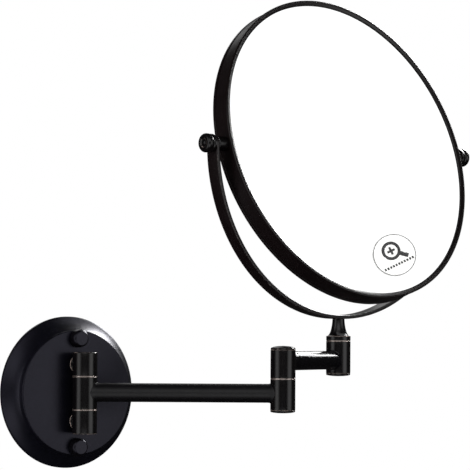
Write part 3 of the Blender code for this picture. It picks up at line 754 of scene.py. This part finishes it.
def long_arm():
    body = "long_arm"
    barrel("hinge_knuckle", HINGE_AXES, body, (SEAM, SEAM))
    arm_tube("long_arm_tube", HINGE, ELBOW, body, TUBE_BRONZE)
    barrel("elbow_lower_knuckle", ELBOW_AXES, body, (0, GAP), recess_low=BOLT_RECESS)
    end_cap("elbow_bottom_cap", ELBOW_AXES, body, SEAM, 0.0008)
    steel_part("elbow_bolt", ELBOW_AXES, body, 0.0003)
    joint_washer("elbow_washer", ELBOW_AXES, body)
    hex_nut("elbow_nut", ELBOW_AXES, body)


def short_arm():
    body = "short_arm"
    barrel("elbow_upper_knuckle", ELBOW_AXES, body, (SEAM, 0), recess_high=NUT_RECESS)
    steel_part("elbow_spring_washer", ELBOW_AXES, body, 0.0001)
    end_cap("elbow_top_cap", ELBOW_AXES, body, -SEAM, 0.0012)
    arm_tube("short_arm_tube", ELBOW, SWIVEL, body, BRIGHT_TUBE)
    barrel("front_knuckle", SWIVEL_AXES, body, (0, GAP), recess_low=FRONT_RECESS)
    end_cap("front_bottom_cap", SWIVEL_AXES, body, SEAM, 0.0008)
    joint_washer("swivel_washer", SWIVEL_AXES, body)


# ---- Post and yoke ----
def mirror_post():
    """A collar the size of the barrels that sweeps in to a slim neck under the yoke."""
    low, high = (corner.z - SWIVEL.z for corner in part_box("mirror_post"))
    collar = low + COLLAR_HEIGHT
    low -= SEAM
    high += GAP
    step = BARREL_RADIUS - 0.0004
    bore_end = 0.0390
    centre = (step, collar + FLARE_HEIGHT)
    top_turn = 180 + degrees(asin((centre[1] - high) / FLARE_HEIGHT))
    outline = [(0, high, 0)]
    outline += arc(centre, (step - NECK_RADIUS, FLARE_HEIGHT), top_turn, 267, 24)
    outline += soft_corner((BARREL_RADIUS, collar), BARREL_EDGE, (-1, 0), (0, -1), 0.9)
    outline += soft_corner((BARREL_RADIUS, low), BARREL_EDGE, (0, 1), (-1, 0), BARREL_WEAR)
    outline += [(BORE_RADIUS, low, 0), (BORE_RADIUS, bore_end, 0), (0, bore_end, 0)]
    post = spin("mirror_post_turned", outline, SWIVEL_AXES, DARK_BRONZE, RING_STEPS)
    settle(post, "mirror_stand", "dark_bronze", "mirror_post")


def strip_section(half_width, half_thickness, corner):
    """A rounded rectangle across the yoke's strip, as (outwards, across, wear) points."""
    corner = min(corner, half_width * 0.9, half_thickness * 0.9)
    wear = 0.6
    points = []
    for quarter in range(4):
        side_u = 1 if quarter in (0, 3) else -1
        side_v = 1 if quarter in (0, 1) else -1
        for k in range(ARC_POINTS):
            t = k / (ARC_POINTS - 1)
            a = quarter * pi / 2 + t * pi / 2
            points.append((side_u * (half_thickness - corner) + corner * cos(a),
                           side_v * (half_width - corner) + corner * sin(a), wear * 4 * t * (1 - t)))
    return points


def yoke():
    """A half ring of flat strip, its ends rounded about the pivots, with softly broken edges."""
    pivot = TILT.z - SWIVEL.z
    centre = pivot + YOKE_RISE
    across = PIVOT.cross(UP)
    outer = reach("yoke", axes(SWIVEL + UP * centre, across, PIVOT))[0]
    half_width = reach("yoke", axes(SWIVEL, across, PIVOT))[2]
    middle = outer - YOKE_THICKNESS / 2
    start = asin(YOKE_RISE / middle)
    side = middle * cos(start)
    arc_steps = 160
    end_steps = 14
    least_width = 0.00015
    end = []
    for k in range(1, end_steps + 1):
        a = pi / 2 * k / end_steps
        end.append((pivot + half_width * sin(a), max(half_width * cos(a), least_width)))
    stations = []
    for height, width in reversed(end):
        stations.append((Vector((-side, 0, height)), Vector((-1, 0, 0)), width))
    for k in range(arc_steps + 1):
        a = pi + start + (pi - 2 * start) * k / arc_steps
        outwards = Vector((cos(a), 0, sin(a)))
        stations.append((outwards * middle + Vector((0, 0, centre)), outwards, half_width))
    stations += [(Vector((side, 0, height)), Vector((1, 0, 0)), width) for height, width in end]
    mesh = bmesh.new()
    wear = []
    rings = []
    for place, outwards, width in stations:
        ring = []
        for u, v, worn in strip_section(width, YOKE_THICKNESS / 2, 0.0006):
            ring.append(mesh.verts.new(place + outwards * u + Vector((0, v, 0))))
            wear.append(worn)
        rings.append(ring)
    for first, second in zip(rings, rings[1:]):
        for k in range(len(first)):
            onward = (k + 1) % len(first)
            mesh.faces.new((first[k], first[onward], second[onward], second[k]))
    mesh.faces.new(rings[0])
    mesh.faces.new(rings[-1])
    band = finish_mesh("yoke_strip", mesh, wear, SWIVEL_AXES, RIM_BRONZE)
    bottom = centre - outer + YOKE_THICKNESS - SCREW_RECESS
    head_radius = reach("post_screw", SWIVEL_AXES)[0] + GAP
    recess = [(0, centre, 0), (head_radius, centre, 0), (head_radius, bottom, 0), (0, bottom, 0)]
    carve(band, spin("recess", recess, SWIVEL_AXES, RIM_BRONZE, SMALL_STEPS))
    settle(band, "mirror_stand", "dark_bronze", "yoke")


def mirror_stand():
    mirror_post()
    yoke()
    body = "mirror_stand"
    slot = "dark_bronze"
    screw = turned_copy("post_screw", SWIVEL_AXES, DARK_BRONZE, slot, body, SMALL_STEPS, 0.0004)
    cross_recess(screw, SWIVEL_AXES, reach("post_screw", SWIVEL_AXES)[2])
    steel_part("swivel_bolt", SWIVEL_AXES, body, 0.0003)
    steel_part("swivel_spring_washer", SWIVEL_AXES, body, 0.0001)


# ---- Mirror head ----
def dish(radius):
    """How far the dished glass's face stands above its middle at a radius."""
    ball = (GLASS_RADIUS**2 + GLASS_SAG**2) / (2 * GLASS_SAG)
    return ball - sqrt(ball**2 - radius**2)


def drum():
    """The thin wall between the two bezels."""
    edge = 0.0002
    outline = soft_corner((DRUM_RADIUS, DRUM_HALF), edge, (-1, 0), (0, -1), 0.0)
    outline += [(DRUM_RADIUS, DRUM_HALF * (1 - k / 6), 0) for k in range(1, 12)]
    outline += soft_corner((DRUM_RADIUS, -DRUM_HALF), edge, (0, 1), (-1, 0), 0.0)
    inner = DRUM_RADIUS - DRUM_WALL
    outline += [(inner, -DRUM_HALF, 0), (inner, DRUM_HALF, 0)]
    piece = spin("mirror_rim_drum", outline, HEAD_AXES, RIM_BRONZE, BIG_STEPS, True)
    settle(piece, "mirror_head", "dark_bronze", "mirror_rim")


def bezel(node, placement):
    """A rolled ring over a glass's edge: its front falls from a crown near the rim to a thin lip."""
    radius, skirt, front = reach(node, placement)
    points, _ = meridian(node, placement)
    lip = min(r for r, h in points)
    inner = sorted({round(r, 6) for r, h in points if h < skirt + 0.00001})[0]
    seat = max(h for r, h in points if abs(r - inner) < 0.00001)
    skirt -= SEAM
    crown = radius - 0.0010
    low = front - min(BEZEL_FALL, front - seat - LIP_THICKNESS)
    outline = [(lip, low - 0.0002, 0), (lip + 0.0002, low, 0)]
    outline += [((lip + crown) / 2, low + (front - low) * 0.6, 0), (crown, front, 0)]
    outline += soft_corner((radius, front), 0.0008, (-1, 0), (0, -1), 0.3)
    outline += [(radius, (front + skirt) / 2, 0)]
    outline += soft_corner((radius, skirt), 0.0002, (0, 1), (-1, 0), 0.3)
    outline += [(inner, skirt, 0), (inner, seat, 0), (lip, seat, 0)]
    piece = spin(node + "_rolled", outline, placement, RIM_BRONZE, BIG_STEPS, True)
    settle(piece, "mirror_head", "dark_bronze", node)


def glasses():
    """The dished magnifying glass in front and the flat one behind, with ground edges."""
    body = "mirror_head"
    slot = "mirror_glass"
    edge = 0.0003
    rings = 32
    ground = GLASS_RADIUS - edge
    high = reach("magnifying_glass", HEAD_AXES)[2]
    low = high - GLASS_THICKNESS
    radii = [GLASS_RADIUS * k / rings for k in range(rings)]
    face = [(radius, high - GLASS_SAG + dish(radius), 0) for radius in radii]
    side = [(ground, high, 0), (GLASS_RADIUS, high - edge, 0)]
    side += [(GLASS_RADIUS, low + edge, 0), (ground, low, 0)]
    back = [(radius, height - GLASS_THICKNESS, 0) for radius, height, _ in reversed(face)]
    piece = spin("magnifying_glass_dished", face + side + back, HEAD_AXES, GLASS, BIG_STEPS)
    settle(piece, body, slot, "magnifying_glass")
    _, low, high = reach("plain_glass", REAR_AXES)
    outline = [(0, high, 0), (GLASS_RADIUS * 0.5, high, 0), (ground, high, 0)]
    outline += [(GLASS_RADIUS, high - edge, 0), (GLASS_RADIUS, low + edge, 0)]
    outline += [(ground, low, 0), (0, low, 0)]
    piece = spin("plain_glass_flat", outline, REAR_AXES, GLASS, BIG_STEPS)
    settle(piece, body, slot, "plain_glass")
    turned_copy("foam_pad", HEAD_AXES, FOAM, "foam", body, RING_STEPS, 0.0010)


def boss(node, placement):
    """The riveted boss between the drum and the yoke, its two shoulders closed up to their neighbours."""
    points, closed = meridian(node, placement)
    widest = max(radius for radius, _ in points)
    shoulder = min(height for radius, height in points if radius > widest - 0.0005)
    crown = max(height for _, height in points)
    near = 0.00002
    grown = []
    for radius, height in points:
        if abs(height - shoulder) < near:
            height -= SEAM
        if abs(height - crown) < near:
            height += SEAM
        grown.append((radius, height))
    outline = [(radius, height, 0) for radius, height, _ in rounded(grown, closed, 0.0004)]
    piece = spin(node + "_riveted", outline, placement, DARK_BRONZE, SMALL_STEPS, closed)
    settle(piece, "mirror_head", "dark_bronze", node)


def pivots():
    """On each side: the boss in the drum, the nylon washer and the thumb knob."""
    for word, side in (("left", -1), ("right", 1)):
        placement = axes(TILT, PIVOT * side, UP)
        boss(f"{word}_pivot_boss", placement)
        node = f"{word}_pivot_washer"
        washer(node, placement, NYLON, "nylon", "mirror_head", WASHER_BORE, outwards=SEAM)
        knob(word, placement)


def knob(word, placement):
    """A short thumb knob: a flange on the yoke, a waist, and a rounded head with a ringed face."""
    node = f"{word}_knob"
    radius, _, top = reach(node, placement)
    points, _ = meridian(node, placement)
    base = min(h for r, h in points if r > radius * 0.6)
    shaft_end = min(h for r, h in points)
    shaft = max(r for r, h in points if h < base - 0.0005)
    crown = 0.0022
    outline = [(0, top - 0.0001, 0), (0.0005, top - 0.0001, 0), (0.0008, top - 0.0003, 0.5)]
    outline += [(0.0011, top - 0.0005, 0), (0.0022, top - 0.0005, 0), (0.0026, top - 0.0003, 0.5)]
    outline += [(0.0029, top - 0.0001, 0.5), (radius - 0.0026, top, 0.2)]
    outline += arc((radius - crown, top - crown), (crown, crown), 84, 2, 10)
    waist = base + 0.0022
    outline += [(radius - 0.0001, waist + 0.0010, 0), (radius - 0.0003, waist + 0.0005, 0.3)]
    outline += [(radius - 0.0007, waist + 0.0002, 0), (radius - 0.0007, waist - 0.0001, 0)]
    outline += [(radius - 0.0003, waist - 0.0005, 0.3), (radius - 0.0002, waist - 0.0009, 0)]
    base -= SEAM
    outline += [(radius - 0.0002, base + 0.0004, 0), (radius - 0.0006, base, 0.3)]
    outline += [(shaft, base, 0), (shaft, shaft_end, 0), (0, shaft_end, 0)]
    piece = spin(f"{word}_thumb_knob", outline, placement, DARK_BRONZE, SMALL_STEPS * 2)
    settle(piece, f"{word}_thumb_knob", "dark_bronze", node)


def label():
    """A thin peel-off label that lies on the dished glass, with a printed ring and a magnifier sign."""
    low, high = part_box("magnification_label")
    back = HEAD_AXES.inverted()
    middle = back @ ((low + high) / 2)
    points = [back @ v.co for v in NODES["magnification_label"].data.vertices]
    spots = [Vector((p.x - middle.x, p.y - middle.y)) for p in points]
    long_spot = max(spots, key=lambda spot: spot.length)
    long_axis = long_spot.length
    lean = atan2(long_spot.y, long_spot.x)
    if cos(lean) < 0:
        lean += pi
    along = Vector((cos(lean), sin(lean)))
    across = Vector((-sin(lean), cos(lean)))
    short_axis = max(abs(spot.dot(across)) for spot in spots)
    glass_top = reach("magnifying_glass", HEAD_AXES)[2] - GLASS_SAG

    def on_glass(u, v, lift):
        """A point of the label, in shares of its half axes, at a height over the glass."""
        flat = Vector((middle.x, middle.y)) + along * u * long_axis + across * v * short_axis
        return Vector((flat.x, flat.y, glass_top + dish(flat.length) + lift))

    mesh = bmesh.new()
    wear = []

    def patch(outer, inner, lifts, ink):
        """A flat shape between two outlines of the same length, standing a little off the glass."""
        levels = []
        for lift in lifts:
            level = []
            for line in (outer, inner):
                level.append([mesh.verts.new(on_glass(u, v, lift)) for u, v in line])
                wear.extend([0.0] * len(line))
            levels.append(level)
        count = len(outer)
        (low_out, low_in), (high_out, high_in) = levels
        for k in range(count):
            n = (k + 1) % count
            sides = [(high_out[k], high_out[n], high_in[n], high_in[k])]
            sides += [(low_out[n], low_out[k], low_in[k], low_in[n])]
            sides += [(low_out[k], low_out[n], high_out[n], high_out[k])]
            sides += [(low_in[n], low_in[k], high_in[k], high_in[n])]
            for corners in sides:
                mesh.faces.new(corners).material_index = ink

    def bar(centre, half_length, half_width, angle=0.0):
        """A short printed stroke."""
        turn = Vector((cos(angle), sin(angle)))
        side = Vector((-sin(angle), cos(angle)))
        outer = []
        inner = []
        for k in range(24):
            a = 2 * pi * k / 24
            u = max(-1, min(1, 1.4 * cos(a)))
            v = max(-1, min(1, 1.4 * sin(a)))
            shape = turn * half_length * u + side * half_width * v
            outer.append(tuple(Vector(centre) + shape))
            inner.append(tuple(Vector(centre) + shape * 0.02))
        patch(outer, inner, ink_lifts, 1)

    paper_lifts = (0.00008, 0.00020)
    ink_lifts = (0.00018, 0.00024)
    centre = (0, 0)
    lens = (-0.06, 0.24)
    patch(circle_points(centre, 1.0, 96), circle_points(centre, 0.01, 96), paper_lifts, 0)
    patch(circle_points(centre, 0.985, 96), circle_points(centre, 0.955, 96), ink_lifts, 1)
    patch(circle_points(lens, 0.44, 64), circle_points(lens, 0.30, 64), ink_lifts, 1)
    bar(lens, 0.19, 0.055)
    bar(lens, 0.055, 0.19)
    bar((0.42, -0.16), 0.20, 0.10, radians(-42))
    for k in range(11):
        bar((-0.70 + 0.14 * k, -0.46), 0.045, 0.055)
    piece = finish_mesh("magnification_label_print", mesh, wear, HEAD_AXES, PAPER)
    piece.data.materials.append(INK)
    settle(piece, "mirror_head", "label", "magnification_label")


def mirror_head():
    drum()
    bezel("front_bezel", HEAD_AXES)
    bezel("rear_bezel", REAR_AXES)
    glasses()
    pivots()
    label()


# ---- Studio ----
VIEW_AZIMUTH = radians(34.03)
VIEW_PITCH = radians(1.58)
VIEW_ROLL = radians(0.36)
CAMERA_PLACE = Vector((-0.9071, -1.5339, 0.0513))
SENSOR = 36.0
LENS = 214.5
FLOOR_HEIGHT = -0.40
FLOOR_RADIUS = 2.4
LAMP_DISTANCE = 1.6


def heading(azimuth, elevation):
    """A direction: azimuth in degrees to the right of the camera's view, elevation above the horizon."""
    a = VIEW_AZIMUTH + radians(azimuth)
    e = radians(elevation)
    return Vector((sin(a) * cos(e), cos(a) * cos(e), sin(e)))


def camera():
    data = bpy.data.cameras.new("camera")
    data.sensor_width = SENSOR
    data.lens = LENS
    data.clip_start = 0.01
    data.clip_end = 50
    eye = bpy.data.objects.new("camera", data)
    bpy.context.scene.collection.objects.link(eye)
    forward = heading(0, 0) * cos(VIEW_PITCH) + UP * sin(VIEW_PITCH)
    level = forward.cross(UP).normalized()
    lifted = level.cross(forward)
    right = level * cos(VIEW_ROLL) + lifted * sin(VIEW_ROLL)
    top = lifted * cos(VIEW_ROLL) - level * sin(VIEW_ROLL)
    turn = Matrix((right, top, -forward)).transposed()
    eye.matrix_world = Matrix.Translation(CAMERA_PLACE) @ turn.to_4x4()
    bpy.context.scene.camera = eye


def studio_world():
    """A dark room with softboxes to both sides of the camera, above and below it, and a card far behind.

    The camera itself sees a white backdrop, and the polished mirrors see a pale one all round.
    """
    world = bpy.data.worlds.new("studio")
    bpy.context.scene.world = world
    world.use_nodes = True
    tree = world.node_tree
    shader = tree.nodes["Background"]
    direction = add(tree, "ShaderNodeTexCoord").outputs["Generated"]

    def along(axis):
        inputs = {0: direction, 1: tuple(axis)}
        return add(tree, "ShaderNodeVectorMath", inputs, operation="DOT_PRODUCT").outputs["Value"]

    def darkened(first, second):
        return math(tree, "MULTIPLY", first, second)

    def brightest(first, second):
        return math(tree, "MAXIMUM", first, second)

    def choose(share, first, second):
        return add(tree, "ShaderNodeMix", {0: share, 2: first, 3: second}, data_type="FLOAT").outputs[0]

    ahead = along(heading(0, 0))
    right = along(heading(90, 0))
    height = along(UP)
    bearing = math(tree, "ARCTAN2", right, math(tree, "MULTIPLY", ahead, -1.0))
    side = add(tree, "ShaderNodeMath", {0: bearing}, operation="ABSOLUTE").outputs["Value"]
    tall = add(tree, "ShaderNodeMath", {0: height}, operation="ABSOLUTE").outputs["Value"]
    card = fit(tree, along(heading(-13, 34)), cos(radians(15)), cos(radians(6)), 0.0, 1.3, "SMOOTHSTEP")

    def box(angle, start, end, low, high, strength):
        """A softbox between two bearings, fading out between two heights above and below the camera."""
        fade = 9
        first = (radians(start - fade), radians(start + fade))
        last = (radians(end - fade), radians(end + fade))
        inside = fit(tree, angle, *first, 0.0, strength, "SMOOTHSTEP")
        outside = fit(tree, angle, *last, 1.0, 0.0, "SMOOTHSTEP")
        limit = fit(tree, tall, low, high, 1.0, 0.0, "SMOOTHSTEP")
        return darkened(darkened(inside, outside), limit)

    right_box = box(bearing, 44, 82, 0.14, 0.44, 1.25)
    left_box = box(math(tree, "MULTIPLY", bearing, -1.0), 41, 73, 0.30, 0.70, 1.15)
    brow = fit(tree, tall, 0.13, 0.27, 0.0, 1.2, "SMOOTHSTEP")
    brow = darkened(brow, box(side, -30, 26, 0.55, 0.75, 1.0))
    boxes = brightest(brightest(right_box, left_box), brow)
    room = fit(tree, height, -0.6, 1.0, 0.012, 0.04)
    light = brightest(brightest(card, boxes), room)
    pale = fit(tree, height, -0.8, 0.5, 0.62, 1.15, "SMOOTHSTEP")
    path = add(tree, "ShaderNodeLightPath")
    light = choose(path.outputs["Is Singular Ray"], light, pale)
    light = choose(path.outputs["Is Camera Ray"], light, 1.0)
    tree.links.new(light, shader.inputs["Strength"])
    shader.inputs["Color"].default_value = (1, 1, 1, 1)


def softbox(name, azimuth, elevation, width, height, radiance):
    """An area light that faces the object from a direction, with a given brightness of its face."""
    data = bpy.data.lights.new(name, "AREA")
    data.shape = "RECTANGLE"
    data.size = width
    data.size_y = height
    data.energy = radiance * width * height * pi
    lamp = bpy.data.objects.new(name, data)
    bpy.context.scene.collection.objects.link(lamp)
    aim = (CAD_BOX[0] + CAD_BOX[1]) / 2
    towards = heading(azimuth, elevation)
    lamp.location = aim + towards * LAMP_DISTANCE
    lamp.rotation_mode = "QUATERNION"
    lamp.rotation_quaternion = towards.to_track_quat("Z", "Y")
    lamp.visible_camera = False
    return lamp


def floor():
    """A plain pale disc far below, which fades to white at its edge."""
    mesh = bmesh.new()
    bmesh.ops.create_circle(mesh, cap_ends=True, segments=96, radius=FLOOR_RADIUS)
    data = bpy.data.meshes.new("floor")
    mesh.to_mesh(data)
    mesh.free()
    ground = bpy.data.objects.new("floor", data)
    bpy.context.scene.collection.objects.link(ground)
    ground.location = (0, 0, FLOOR_HEIGHT)
    material, tree, shader = new_material("pale_floor")
    place = add(tree, "ShaderNodeTexCoord").outputs["Object"]
    distance = add(tree, "ShaderNodeVectorMath", {0: place}, operation="LENGTH").outputs["Value"]
    glow = fit(tree, distance, 0.5, FLOOR_RADIUS, 0.72, 1.0, "SMOOTHSTEP")
    shader.inputs["Base Color"].default_value = (0.25, 0.25, 0.25, 1)
    shader.inputs["Roughness"].default_value = 0.9
    shader.inputs["Emission Color"].default_value = (1, 1, 1, 1)
    tree.links.new(glow, shader.inputs["Emission Strength"])
    data.materials.append(material)
    ground.visible_glossy = False


def studio():
    camera()
    studio_world()
    softbox("rim_softbox", 36, 30, 1.1, 0.36, 28)
    fill = softbox("fill_softbox", 160, 18, 1.4, 1.2, 4.2)
    side = softbox("side_softbox", -112, 4, 1.2, 1.2, 9)
    for soft in (fill, side):
        soft.visible_glossy = False
    floor()
    bpy.context.scene.view_settings.view_transform = "Standard"


# ---- Build ----
studio()
wall_mount()
long_arm()
short_arm()
mirror_stand()
mirror_head()
